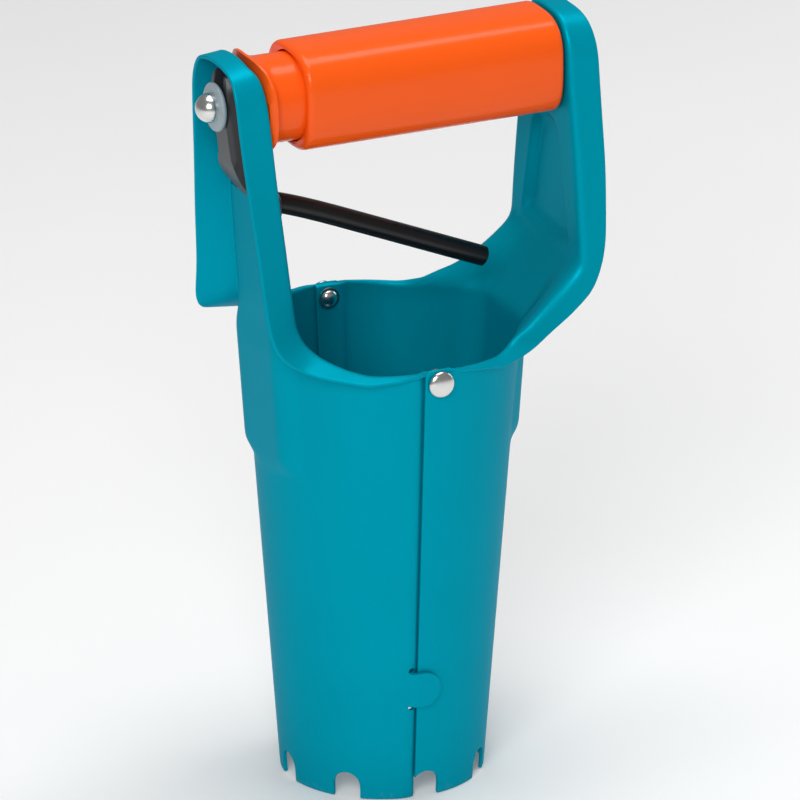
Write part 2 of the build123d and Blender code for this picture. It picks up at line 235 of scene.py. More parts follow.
LEFT_EDGE = (
    rim_row(0.00, 95.5, 147.8, 0.0, -0.7, 0.3),
    rim_row(0.05, 86.0, 147.8, 0.0, -0.7, 0.3),
    rim_row(0.075, 81.0, 148.3, 2.2, 0.3, 1.0),
    rim_row(0.12, 72.0, 148.5, 3.6, 1.4, 1.8),
    rim_row(0.18, 60.0, 148.7, 5.2, 2.4, 2.2),
    arm_row(0.23, 33.0, 150.2, 35.6, 148.6, 2.4, 35.2),
    arm_row(0.26, 27.2, 153.4, 41.6, 150.4, 2.6, 31.0),
    arm_row(0.29, 22.9, 156.8, 46.8, 153.9, 2.8, 29.0),
    arm_row(0.315, 20.8, 161.6, 50.2, 159.8, 2.8, 27.8),
    arm_row(0.335, 20.6, 168.0, 51.6, 168.0, 2.8, 26.9),
    arm_row(0.37, 19.4, 190.0, 53.4, 189.0, 2.4, 24.4),
    arm_row(0.395, 18.2, 208.0, 55.2, 208.0, 2.2, 20.9),
    arm_row(0.42, 17.3, 226.0, 56.8, 226.0, 1.8, 18.4),
    arm_row(0.445, 16.4, 236.9, 57.4, 236.2, 1.6, 17.2),
    arm_row(0.465, 13.6, 243.6, 57.4, 243.0, 1.5, 13.9),
    arm_row(0.48, 9.4, 246.1, 57.4, 245.0, 1.4, 9.6),
    arm_row(0.50, 0.0, 247.3, 57.4, 246.0, 1.4),
)
LEFT_REAR_EDGE = (
    *LEFT_EDGE[:5],
    arm_row(0.23, 33.0, 150.2, 37.6, 150.6, 2.4, 33.6),
    arm_row(0.26, 27.2, 153.4, 45.0, 152.8, 2.6, 30.0),
    arm_row(0.29, 22.9, 156.8, 50.4, 154.0, 2.8, 28.4),
    arm_row(0.315, 20.8, 161.6, 52.0, 158.0, 2.8, 27.8),
    *LEFT_EDGE[9:],
)
RIGHT_EDGE = (
    rim_row(0.00, 95.5, 147.8, 0.0, -0.7, 0.3),
    rim_row(0.05, 86.0, 147.8, 0.0, -0.7, 0.3),
    rim_row(0.075, 81.0, 148.2, 2.0, 0.4, 1.0),
    rim_row(0.12, 70.0, 148.3, 3.0, 1.8, 2.0),
    rim_row(0.18, 58.0, 148.4, 4.6, 3.6, 3.0),
    arm_row(0.22, 32.5, 150.0, 37.6, 146.4, 4.4, 33.6),
    arm_row(0.25, 29.6, 155.4, 44.6, 149.2, 5.6, 30.4),
    arm_row(0.28, 28.0, 161.4, 53.0, 153.6, 6.0, 28.6),
    arm_row(0.31, 26.9, 168.4, 61.6, 160.4, 5.0, 27.4),
    arm_row(0.335, 25.6, 177.6, 66.0, 172.4, 3.4, 26.2),
    arm_row(0.37, 22.4, 200.4, 67.0, 198.4, 3.0, 23.4),
    arm_row(0.42, 17.3, 226.0, 66.95, 226.0, 2.2, 18.9),
    arm_row(0.445, 16.4, 236.9, 66.9, 236.5, 1.8, 17.6),
    arm_row(0.465, 13.6, 243.6, 66.4, 243.3, 1.6, 14.0),
    arm_row(0.48, 9.2, 247.1, 65.4, 246.9, 1.5, 9.4),
    arm_row(0.50, 0.0, 247.5, 64.8, 247.3, 1.5),
)


def edge_path(outer_side, inner_side, shares):
    """The fold line and the free edge at each share of the way from the outer ply to the inner."""
    rear = np.array(outer_side)
    table = np.array(inner_side)
    rear[0, 1] = -OUTER_PLY_END
    rear[:, 1] *= -1
    rear[:, 4] *= -1
    front = table[:-1][::-1].copy()
    front[:, 0] = 1 - front[:, 0]
    whole = np.concatenate([rear, front])
    return eased(whole[:, 0], whole[:, 1:], shares, 0.009)


def left_wall(angle, z, sheet):
    """Inner face of the left half: the tapered tube, carried on up as the arm, with a flat pad."""
    inner = tube_radius(z) - sheet - PLY_STEP * step(angle, 80.4, 82.6)
    a = np.radians(angle)
    x, y = inner * np.cos(a), inner * np.sin(a)
    half = 16.0 - 5.0 * step(z, 150, 164)
    proud = 0.6 - 0.6 * step(z, 148, 160)
    flat = tube_radius(z) - sheet + proud
    blur = 4.6 - 3.2 * step(z, 148, 162)
    reach = 1 - step(np.abs(y), half - blur, half + blur)
    foot = step(z, 106.5 + 0.012 * y * y, 111.5 + 0.012 * y * y)
    x = x + (flat - x) * reach * foot * (np.abs(angle) < 60)
    return np.stack([x, y, z], axis=-1)


def right_wall(angle, z, sheet):
    """Inner face of the right half: the tube and its pad, then a funnel out to an upright web.

    The web carries a shallow arch pressed outwards, wider towards its foot.
    """
    inner = tube_radius(z) - sheet - PLY_STEP * step(angle, 80.4, 82.6)
    a = np.radians(angle)
    x, y = inner * np.cos(a), inner * np.sin(a)
    reach = 1 - step(np.abs(y), 11.8, 21.0)
    foot = step(z, 106.5 + 0.012 * y * y, 111.5 + 0.012 * y * y)
    x = x + (tube_radius(z) - sheet + 0.6 - x) * reach * foot * (np.abs(angle) < 60)
    spans = z[..., None] + np.linspace(-1.8, 1.8, 13)
    lean = np.clip((spans - 149.0) / 19.6, 0, 1).mean(axis=-1)
    x = x + lean * (RIGHT_WEB_X - sheet - x)
    half = 17.0 - 9.2 * (z - 171) / 38
    crown = np.sqrt(np.clip(1 - (y / 9.0) ** 2, 0, 1))
    low_edge = 171.0 + 0.010 * y * y
    arch = step(half - np.abs(y), -0.9, 1.3) * step(z, low_edge - 0.4, low_edge + 2.4)
    arch = arch * (1 - step(z, 202 + 7 * crown, 205 + 7 * crown))
    x = x + 2.9 * arch
    return np.stack([x, y, z], axis=-1)


def half_grid(wall, outer_side, inner_side, sheet):
    """Whole inner face of a half as a grid, from the teeth up to the flange's free edge.

    Columns start on the toothed edge, run straight up the tube, gather under the arm and fan out
    to the fold line. A quadratic curve takes each round the fold, and a straight run ends it.
    """
    angles, heights, even = tooth_line(OUTER_PLY_END, INNER_PLY_END)
    shares = (even - even[0]) / (even[-1] - even[0])
    path = edge_path(outer_side, inner_side, shares)
    fold_angle, fold_z, edge, fold = path[:, 0], path[:, 1], path[:, 2:5], path[:, 5]
    arc = np.radians(fold_angle) * RIM_RADIUS
    tangent = np.stack([np.gradient(arc), np.gradient(fold_z)], axis=1)
    tangent /= np.linalg.norm(tangent, axis=1, keepdims=True)
    inset_angle = fold_angle + np.degrees(fold * tangent[:, 1] / RIM_RADIUS)
    inset_z = fold_z - fold * tangent[:, 0]
    gather = eased(
        np.array([0, 0.05, 0.18, 0.26, 0.30, 0.5, 0.70, 0.74, 0.82, 0.95, 1]),
        np.array([[-96.5, -86, -60, -34, -25, 0, 25, 34, 60, 86, 95.5]]).T,
        shares,
        0.01,
    )[:, 0]
    gather[[1, -2]] = even[[1, -2]]
    inset_angle[[0, -1]] = even[[0, -1]]
    inset_angle[[1, -2]] = even[[1, -2]]
    waist, shoulder, tooth_top = 100.0, 142.0, 15.0
    layers = []
    for t in (0, 0.03, 0.18, 0.4, 0.7):
        layers.append((angles + (even - angles) * t, heights + (tooth_top - heights) * t))
    for z in np.linspace(tooth_top, waist, 12)[:-1]:
        layers.append((even, np.full_like(even, z)))
    for t in np.linspace(0, 1, 20)[:-1]:
        blend = t * t * (3 - 2 * t)
        level = np.full_like(even, waist + t * (shoulder - waist))
        layers.append((even + (gather - even) * blend, level))
    for t in np.linspace(0, 1, 46):
        layers.append((gather + (inset_angle - gather) * t, shoulder + (inset_z - shoulder) * t))
    angle_grid = np.stack([layer[0] for layer in layers])
    z_grid = np.stack([layer[1] for layer in layers])
    face = wall(angle_grid, z_grid, sheet)
    inset = face[-1]
    beyond = wall(fold_angle, fold_z, sheet)
    near_angle = inset_angle + 0.05 * (fold_angle - inset_angle)
    near = wall(near_angle, inset_z + 0.05 * (fold_z - inset_z), sheet)
    slope = (near - inset) / np.linalg.norm(near - inset, axis=1, keepdims=True)
    corner = inset + slope * np.linalg.norm(beyond - inset, axis=1, keepdims=True)
    run = edge - corner
    length = np.linalg.norm(run, axis=1, keepdims=True)
    after = corner + run / length * np.minimum(fold[:, None], 0.6 * length)
    t = np.array([0.22, 0.44, 0.66, 0.88, 1.0])[:, None, None]
    curve = (1 - t) ** 2 * inset + 2 * t * (1 - t) * corner + t**2 * after
    rest = np.linalg.norm(edge - after, axis=1, keepdims=True)
    hold = 1 - np.minimum(0.35, 0.3 * rest) / rest
    straight = [after + (edge - after) * share for share in (0.35, 0.7)]
    tail = np.stack([*straight, after + (edge - after) * hold, edge])
    return np.concatenate([face, curve, tail])


def half_object(name, grid, sheet, turned_round):
    """Sheet of the given thickness outside a half's inner face, with softly rounded cut edges."""
    if turned_round:
        grid = grid * np.array([-1, -1, 1])
    rows, columns = grid.shape[:2]
    points = grid.reshape(-1, 3)
    faces = grid_faces(rows, columns, False)
    middle = faces[len(faces) // 5]
    normal = np.cross(points[middle[1]] - points[middle[0]], points[middle[3]] - points[middle[0]])
    if np.dot(normal[:2], points[middle[0]][:2]) > 0:
        faces = faces[:, ::-1]
    made = new_object(name, points, faces.tolist(), 60)
    wall = made.modifiers.new("Sheet", "SOLIDIFY")
    wall.thickness = sheet * MM
    wall.offset = -1
    wall.use_even_offset = True
    wall.thickness_clamp = 0
    soft = made.modifiers.new("Soft edges", "SUBSURF")
    soft.levels = 1
    soft.render_levels = 1
    soft.boundary_smooth = "PRESERVE_CORNERS"
    return frozen(made)


def tab_object(sheet):
    """D-shaped tab over the seam: rows across its height, each run out to a half-round end."""
    middle_z, half = 38.4, 5.9
    height = half * np.sin(np.linspace(-np.pi / 2, np.pi / 2, 25))
    share = np.array([0, 0.12, 0.24, 0.34, 0.45, 0.6, 0.75, 0.9, 0.965, 1.0])
    tip = -2.3 + np.sqrt(np.maximum(half**2 - height**2, 0))
    x = -8.2 + share[:, None] * (tip[None] + 8.2)
    z = np.broadcast_to(middle_z + height, x.shape)
    lift = -sheet - 0.12 + (0.55 + sheet) * step(x, -7.2, -4.6)
    radius = tube_radius(z) + lift
    grid = np.stack([x, -np.sqrt(radius**2 - x**2), z], axis=-1)
    return half_object("seam_tab", grid, sheet, False)


# ---- shader tools ----
class Value:
    """A number worked out by shader nodes; Python operators on it add Math nodes."""

    def __init__(self, tree, socket):
        self.tree = tree
        self.socket = socket

    def combined(self, operation, first, second):
        node = self.tree.nodes.new("ShaderNodeMath")
        node.operation = operation
        for port, term in zip(node.inputs, (first, second)):
            if isinstance(term, Value):
                self.tree.links.new(term.socket, port)
            else:
                port.default_value = term
        return Value(self.tree, node.outputs[0])

    def __add__(self, other):
        return self.combined("ADD", self, other)

    def __sub__(self, other):
        return self.combined("SUBTRACT", self, other)

    def __rsub__(self, other):
        return self.combined("SUBTRACT", other, self)

    def __mul__(self, other):
        return self.combined("MULTIPLY", self, other)

    __radd__ = __add__
    __rmul__ = __mul__


class Finish:
    """A material being made round its Principled shader."""

    def __init__(self, name, **constants):
        self.material = bpy.data.materials.new(name)
        self.material.use_nodes = True
        self.tree = self.material.node_tree
        self.shader = self.tree.nodes["Principled BSDF"]
        for port, value in constants.items():
            self.shader.inputs[port.replace("_", " ")].default_value = value

    def node(self, kind, settings=(), sockets=()):
        """Adds a node: its type, its settings as pairs, then values or links for its sockets."""
        made = self.tree.nodes.new(kind)
        for name, value in dict(settings).items():
            if name == "stops":
                for element, (position, colour) in zip(made.color_ramp.elements, value):
                    element.position = position
                    element.color = colour
            else:
                setattr(made, name, value)
        for port, value in dict(sockets).items():
            self.join(value, made.inputs[port])
        return made

    def join(self, value, port):
        """Feeds a socket with a value, a node's output or a worked-out number."""
        if isinstance(value, Value):
            self.tree.links.new(value.socket, port)
        elif isinstance(value, bpy.types.NodeSocket):
            self.tree.links.new(value, port)
        else:
            port.default_value = value

    def noise(self, scale, detail=2.0, stretch=(1, 1, 1)):
        """Noise on object coordinates as a number from 0 to 1; scale is in cells per metre."""
        place = self.node("ShaderNodeTexCoord")
        sized = self.node(
            "ShaderNodeMapping", (), {"Vector": place.outputs["Object"], "Scale": stretch}
        )
        made = self.node(
            "ShaderNodeTexNoise",
            (),
            {"Vector": sized.outputs[0], "Scale": scale, "Detail": detail},
        )
        return Value(self.tree, made.outputs["Fac"])

    def height(self):
        """Height above the tooth tips, in metres."""
        place = self.node("ShaderNodeTexCoord")
        split = self.node("ShaderNodeSeparateXYZ", (), {0: place.outputs["Object"]})
        return Value(self.tree, split.outputs["Z"])

    def across(self):
        """Distance to either side of the middle plane, in metres."""
        place = self.node("ShaderNodeTexCoord")
        split = self.node("ShaderNodeSeparateXYZ", (), {0: place.outputs["Object"]})
        side = Value(self.tree, split.outputs["Y"])
        return side.combined("ABSOLUTE", side, 0.0)

    def ramp(self, value, low, high):
        """A number mapped smoothly from 0 at low to 1 at high."""
        made = self.node(
            "ShaderNodeMapRange",
            {"interpolation_type": "SMOOTHSTEP"},
            {"Value": value, "From Min": low, "From Max": high},
        )
        return Value(self.tree, made.outputs["Result"])

    def blend(self, share, first, second):
        """Mixes two colours by a share."""
        made = self.node("ShaderNodeMix", {"data_type": "RGBA"}, {0: share, 6: first, 7: second})
        return made.outputs[2]

    def finished(self, colour, roughness, bump, bump_distance, strength):
        """Feeds the shader what varies over the surface."""
        self.join(colour, self.shader.inputs["Base Color"])
        self.join(roughness, self.shader.inputs["Roughness"])
        relief = self.node(
            "ShaderNodeBump",
            (),
            {"Height": bump, "Strength": strength, "Distance": bump_distance},
        )
        self.tree.links.new(relief.outputs["Normal"], self.shader.inputs["Normal"])
        return self.material


def shade(colour, factor):
    """A colour made lighter or darker, with full alpha."""
    return (*[min(1.0, channel * factor) for channel in colour[:3]], 1.0)


def powder_coat(colour):
    """Satin powder coat: a fine pebbled skin, faint cloudiness, and scuffed tooth tips."""
    finish = Finish(
        "powder_coat", Metallic=0.3, Specular_IOR_Level=0.02, Specular_Tint=(0.0, 0.5, 0.65, 1)
    )
    cloud = finish.noise(38, 3)
    grain = finish.noise(1500, 2)
    pebble = finish.noise(620, 1.5)
    scratches = finish.noise(420, 4)
    near_tips = 1 - finish.ramp(finish.height(), 0.0, 0.006)
    scuff = finish.ramp(scratches + 0.35 * near_tips, 0.80, 0.95)
    base = finish.blend(cloud, shade(colour, 0.94), shade(colour, 1.05))
    speckled = finish.blend(finish.ramp(grain, 0.55, 0.9) * 0.25, base, shade(colour, 1.35))
    worn = finish.blend(scuff * 0.04, speckled, (0.34, 0.36, 0.37, 1))
    roughness = 0.34 + 0.10 * grain + 0.05 * cloud
    return finish.finished(worn, roughness, pebble + 0.4 * grain, 0.00018, 0.22)


def grip_plastic(colour):
    """Glossy moulded plastic with faint flow marks along the mould and fine handling marks."""
    finish = Finish("grip_plastic", Specular_IOR_Level=0.2, Coat_Weight=0.08, Coat_Roughness=0.08)
    flow = finish.noise(60, 2, (0.35, 1, 1))
    fine = finish.noise(900, 2)
    marks = finish.ramp(finish.noise(260, 5, (0.12, 1, 1)), 0.62, 0.75)
    base = finish.blend(flow, shade(colour, 0.95), shade(colour, 1.04))
    roughness = 0.20 + 0.07 * marks + 0.05 * fine
    return finish.finished(base, roughness, fine + 0.5 * flow, 0.00012, 0.06)


def lever_plastic(colour):
    """Dark fibre-filled plastic with a fine spark-eroded texture, with painted shade on its cheeks.
    """
    finish = Finish("lever_plastic", Specular_IOR_Level=0.5)
    spark = finish.noise(1700, 3)
    cloud = finish.noise(90, 2)
    face = finish.blend(cloud, shade(colour, 0.8), shade(colour, 1.25))
    # Painted shade: past 5.6 mm either side of the middle, the cheeks are darkened to near black to
    # stand in for their shadow.
    cheek_painted_shade = finish.ramp(finish.across(), 0.0056, 0.0066)
    base = finish.blend(cheek_painted_shade, face, shade(colour, 0.18))
    return finish.finished(base, 0.30 + 0.14 * spark, spark, 0.0001, 0.25)


def black_lacquer(colour):
    """Thin black lacquer on a drawn rod, with lines along the draw."""
    finish = Finish("black_lacquer", Specular_IOR_Level=0.35, Coat_Weight=0.1, Coat_Roughness=0.15)
    drawn = finish.noise(700, 3, (0.05, 1, 1))
    cloud = finish.noise(70, 2)
    base = finish.blend(cloud, shade(colour, 0.8), shade(colour, 1.3))
    return finish.finished(base, 0.27 + 0.12 * drawn, drawn, 0.0001, 0.12)


def plated_steel(name, colour, roughness):
    """Plated steel with a slightly uneven polish and pin-prick marks."""
    finish = Finish(name, Metallic=1.0)
    polish = finish.noise(320, 4)
    pits = finish.ramp(finish.noise(2200, 2), 0.62, 0.8)
    base = finish.blend(polish, shade(colour, 0.86), shade(colour, 1.06))
    uneven = roughness + 0.12 * polish + 0.08 * pits
    return finish.finished(base, uneven, polish - 0.4 * pits, 0.0001, 0.12)


def washer_plastic(colour):
    """Milky washer plastic, a little cloudy and softly lit from inside."""
    finish = Finish("washer_plastic", Subsurface_Weight=0.15, Subsurface_Scale=0.002)
    cloud = finish.noise(420, 3)
    base = finish.blend(cloud, shade(colour, 0.9), shade(colour, 1.08))
    return finish.finished(base, 0.34 + 0.14 * cloud, cloud, 0.0001, 0.1)


FINISHES = {}


def finish_for(slot, settings):
    """The material of one of the record's slots, made once and then shared."""
    if slot not in FINISHES:
        makers = {
            "painted_shell": lambda: powder_coat(settings.paint),
            "grip_plastic": lambda: grip_plastic(settings.grip),
            "lever_plastic": lambda: lever_plastic(settings.lever),
            "black_rod": lambda: black_lacquer(settings.rod),
            "washer_plastic": lambda: washer_plastic(settings.washer),
            "bright_steel": lambda: plated_steel("bright_steel", settings.bright, 0.16),
            "spring_steel": lambda: plated_steel("spring_steel", settings.spring, 0.3),
        }
        FINISHES[slot] = makers[slot]()
    return FINISHES[slot]


def dressed(made, slot, body, replaced, settings):
    """Gives a piece its finish, its body and the model's nodes that it stands for."""
    made.data.materials.clear()
    made.data.materials.append(finish_for(slot, settings))
    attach(made, body)
    if replaced:
        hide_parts(*replaced)
    return made


# ---- settings ----
def colour_setting(name, description, default):
    """Colour that a user can change."""
    return FloatVectorProperty(
        name=name, description=description, subtype="COLOR", default=default, min=0, max=1
    )


class PlanterColours(bpy.types.PropertyGroup):
    paint: colour_setting("Paint", "Powder coat", (0.0, 0.31, 0.425))
    grip: colour_setting("Grip", "Grip plastic", (0.93, 0.105, 0.006))
    lever: colour_setting("Lever", "Lever plastic", (0.026, 0.030, 0.036))
    rod: colour_setting("Rod", "Lacquer", (0.005, 0.005, 0.006))
    washer: colour_setting("Washer", "Washer plastic", (0.30, 0.38, 0.42))
    bright: colour_setting("Rivets", "Plated steel", (0.74, 0.74, 0.72))
    spring: colour_setting("Spring", "Spring steel", (0.42, 0.42, 0.43))


class PlanterSizes(bpy.types.PropertyGroup):
    sheet: FloatProperty(
        name="Sheet",
        description="Thickness of the pressed steel",
        unit="LENGTH",
        default=0.0012,
        min=0.0005,
    )
    sleeve_half: FloatProperty(
        name="Sleeve",
        description="Half thickness of the grip",
        unit="LENGTH",
        default=0.0164,
        min=0.01,
    )
    rod_radius: FloatProperty(
        name="Lever rod",
        description="Radius of the lever's rod",
        unit="LENGTH",
        default=0.0033,
        min=0.001,
    )
    segments: IntProperty(
        name="Segments", description="Points round a turned piece", default=72, min=24, max=160
    )


class PlanterStage(bpy.types.PropertyGroup):
    floor: colour_setting("Floor", "Pale floor", (0.96, 0.96, 0.96))
    surround: FloatProperty(
        name="Surround", description="Strength of the pale room", default=0.24, min=0
    )
    key: FloatProperty(
        name="Key", description="Power of the large soft light", unit="POWER", default=17, min=0
    )


# ---- one operator for each piece or group of pieces ----
class PLANTER_OT_left_shell(bpy.types.Operator):
    """Build the left half with its arm and seam tab"""

    bl_idname = "planter.left_shell"
    bl_label = "Left shell"

    def execute(self, context):
        sheet = context.scene.planter_sizes.sheet / MM
        colours = context.scene.planter_colours
        grid = half_grid(left_wall, LEFT_REAR_EDGE, LEFT_EDGE, sheet)
        shell = half_object("left_half", grid, sheet, True)
        slot = block("slot", (-60, -9.75, 200.6), (-40, 9.75, 214.6))
        drill = [(0, 1.1), (8, 1.1)]
        upper = ringed_object("upper_relief", turned(drill, (-5.9, -31, 44.7), (0, -1, 0), 24))
        lower = ringed_object("lower_relief", turned(drill, (-5.7, -31, 32.1), (0, -1, 0), 24))
        carved(shell, [slot, upper, lower], 50)
        dressed(shell, "painted_shell", "frame", ["left_shell"], colours)
        dressed(tab_object(sheet), "painted_shell", "frame", [], colours)
        return {"FINISHED"}


class PLANTER_OT_right_shell(bpy.types.Operator):
    """Build the right half with its funnel and upright arm"""

    bl_idname = "planter.right_shell"
    bl_label = "Right shell"

    def execute(self, context):
        sheet = context.scene.planter_sizes.sheet / MM
        colours = context.scene.planter_colours
        grid = half_grid(right_wall, RIGHT_EDGE, RIGHT_EDGE, sheet)
        shell = half_object("right_half", grid, sheet, False)
        shell.data.set_sharp_from_angle(angle=radians(50))
        dressed(shell, "painted_shell", "swinging_half", ["right_shell"], colours)
        return {"FINISHED"}


class PLANTER_OT_rivets(bpy.types.Operator):
    """Build the two hinge rivets and dress their washers"""

    bl_idname = "planter.rivets"
    bl_label = "Rivets"

    def execute(self, context):
        colours = context.scene.planter_colours
        head = np.linspace(0, np.pi / 2, 14)[::-1]
        top = np.column_stack([44.35 + 1.7 * np.sin(head), 4.3 * np.cos(head)])[::-1]
        tail = np.linspace(0, np.pi / 2, 10)
        foot = np.column_stack([39.3 - 1.4 * np.cos(tail), 2.75 * np.sin(tail)])
        shank = [(39.3, 2.5), (43.75, 2.5), (43.75, 4.2), (43.9, 4.3)]
        profile = np.concatenate([foot, shank, top])
        profile[[0, -1], 1] = 0.05
        segments = context.scene.planter_sizes.segments
        for name, side in (("front_hinge_rivet", -1), ("rear_hinge_rivet", 1)):
            rings = turned(profile, (0, 0, PIVOT_Z), (0, side, 0), segments)
            made = ringed_object(name.replace("hinge", "dome"), rings, 35)
            dressed(made, "bright_steel", "frame", [name], colours)
        for name in ("front_rivet_washer", "rear_rivet_washer"):
            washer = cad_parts[name]
            washer.data.materials.clear()
            washer.data.materials.append(finish_for("bright_steel", colours))
        return {"FINISHED"}


def sleeve_rings(half, stations, segments):
    """Rings of the sleeve: each point lies on a superellipse of power three or on a circle.

    A station is a place along X, an inset from the sleeve's skin, and how round its ring is.
    """
    turn = np.linspace(0, 2 * np.pi, segments, endpoint=False)
    c, s = np.cos(turn), np.sin(turn)
    squared = half / (np.abs(c) ** 3.02 + np.abs(s) ** 3.02) ** (1 / 3.02)
    x, inset, roundness = np.asarray(stations, float).T
    radius = (squared[None] + (half - squared[None]) * roundness[:, None]) - inset[:, None]
    x = np.broadcast_to(x[:, None], radius.shape)
    return np.stack([x, radius * c, GRIP_Z + radius * s], axis=-1)


class PLANTER_OT_grip(bpy.types.Operator):
    """Build the outer sleeve and the inner tube with its collar"""

    bl_idname = "planter.grip"
    bl_label = "Grip"

    def execute(self, context):
        sizes = context.scene.planter_sizes
        colours = context.scene.planter_colours
        half = sizes.sleeve_half / MM
        bend = np.linspace(0, np.pi / 2, 7)
        mouth = [(-32.4 + 2.0 * (1 - np.sin(b)), 1.6 * (1 - np.cos(b)), 0.0) for b in bend]
        lip = [(-32.4, 1.60, 0.3), (-32.1, 1.82, 1.0), (-31.4, 1.85, 1.0)]
        end = [(55.8 - 1.6 * (1 - np.sin(b)), 1.3 * (1 - np.cos(b)), 0.0) for b in bend]
        skin = [(x, 0.0, 0.0) for x in np.linspace(-30.2, 54.0, 12)]
        bore = [(x, 1.85, 1.0) for x in np.linspace(50.0, -31.4, 10)]
        hole = half - 2.6
        face = [(55.8, 6.0, 1.0), (55.8, hole, 1.0), (51.8, hole, 1.0), (51.8, 1.85, 1.0)]
        stations = lip[::-1] + mouth[::-1] + skin + end + face + bore
        rings = sleeve_rings(half, stations[:-1], 128)
        sleeve = torus_object("sleeve", rings, 38)
        dressed(sleeve, "grip_plastic", "grip", ["grip_sleeve"], colours)
        dressed(inner_tube_object(), "grip_plastic", "grip_core", ["inner_tube"], colours)
        return {"FINISHED"}


def collar_radius(turn):
    """Distance from the grip's axis to the collar's edge: the arch above, a blunt tongue below."""
    c, s = np.cos(turn), np.sin(turn)
    arch = 16.6 / (np.abs(c) ** 2.9 + np.abs(s * 16.6 / 15.7) ** 2.9) ** (1 / 2.9)
    tongue = 16.6 / (np.abs(c) ** 3.0 + np.abs(s * 16.6 / 15.0) ** 3.0) ** (1 / 3.0)
    return np.where(s > 0, arch, arch + (tongue - arch) * step(-s, 0.0, 0.45))


def inner_tube_object():
    """Round tube that flares in a hollow curve to a collar shaped like the arm's arch.

    Behind the collar the face follows the arm, and the bore closes round the tie rod.
    """
    turn = np.linspace(0, 2 * np.pi, 128, endpoint=False)
    c, s = np.cos(turn), np.sin(turn)
    collar = collar_radius(turn)
    barrel = 13.8 / (np.abs(c) ** 2.22 + np.abs(s) ** 2.22) ** (1 / 2.22)
    rows = [(-46.8, 0.0, 3.4), (-47.0, 0.5, 0), (-47.2, 0.965, 0), (-47.0, 1.0, 0), (-46.4, 1.0, 0)]
    rows += [(-46.1, 0.95, 0)]
    rows += [(-46.1 + 6.3 * t, 0.95 * (1 - t) ** 3.4, 0) for t in np.linspace(0.1, 1, 10)]
    rows += [(x, 0.0, 0) for x in (-37.5, -35, -32, -25, 0, 36.6)]
    rows += [(37.7, -0.02, 0), (38.0, -0.08, 0), (38.0, -1.0, 11.7), (37.6, -1.0, 11.5)]
    rows += [(-40.2, -1.0, 11.5), (-40.2, -1.0, 3.4)]
    lean = np.clip((c * collar / 17) ** 2, 0, 1) * 3.0 + 0.65 * (1 - s)
    rings = []
    for x, share, fixed in rows:
        radius = barrel + share * (collar - barrel)
        if fixed:
            radius = np.full_like(turn, fixed)
        bend = lean * max(share, 0.0) if x < -40 and share > 0 else 0 * lean
        rings.append(np.stack([x + bend, radius * c, GRIP_Z + radius * s], axis=-1))
    return torus_object("grip_tube", np.stack(rings), 35)


def lever_sections():
    """Rings down the lever: a hat-shaped section, narrow outside and wide against the arm."""
    heights = np.array([
        201.4, 203.4, 206.0, 209.4, 211.6, 214.0,
        224.0, 233.0, 238.0, 241.2, 242.6,
    ])
    outer = np.array([-48.2, -49.6, -51.4, -53.0, -53.6, -53.9, -55.3, -55.8, -55.9, -55.7, -55.2])
    inner = np.array([-44.8, -44.2, -45.4, -48.0, -48.8, -49.5, -50.2, -50.9, -51.2, -51.5, -52.0])
    wide = np.array([7.2, 8.4, 8.6, 8.6, 8.5, 8.4, 8.6, 8.6, 7.6, 5.4, 3.0])
    narrow = np.array([5.8, 6.8, 7.1, 7.0, 6.0, 4.6, 4.6, 6.0, 5.6, 4.0, 2.2])
    u = np.array([-1, -0.9, -0.5, 0, 0.5, 0.9, 1.0])
    face_y = narrow[:, None] * u
    face_x = np.broadcast_to(outer[:, None], face_y.shape)
    back_y = wide[:, None] * -u
    back_x = np.broadcast_to(inner[:, None], back_y.shape)
    middle_y = np.stack([(0.35 * narrow + 0.65 * wide), wide], axis=1)
    middle_x = np.stack([0.55 * outer + 0.45 * inner, 0.15 * outer + 0.85 * inner], axis=1)
    ring_y = np.concatenate([face_y, middle_y, back_y, -middle_y[:, ::-1]], axis=1)
    ring_x = np.concatenate([face_x, middle_x, back_x, middle_x[:, ::-1]], axis=1)
    ring_z = np.broadcast_to(heights[:, None], ring_x.shape)
    return np.stack([ring_x, ring_y, ring_z], axis=-1)


def lever_tongue():
    """Rings along the lever's tongue, a rounded bar that passes the slot and holds the rod."""
    x = np.array([-49.4, -46.5, -43.0, -40.0, -37.2, -36.4])
    middle = np.array([205.4, 202.6, 200.0, 197.6, 195.6, 195.0])
    half_z = np.array([2.6, 3.6, 4.9, 5.0, 4.3, 3.5])
    half_y = np.array([6.0, 6.2, 6.5, 6.4, 5.8, 4.6])
    turn = np.linspace(0, 2 * np.pi, 32, endpoint=False)
    c, s = np.cos(turn), np.sin(turn)
    k = 1 / (np.abs(c) ** 4 + np.abs(s) ** 4) ** 0.25
    y = half_y[:, None] * (k * c)
    z = middle[:, None] + half_z[:, None] * (k * s)
    return np.stack([np.broadcast_to(x[:, None], y.shape), y, z], axis=-1)


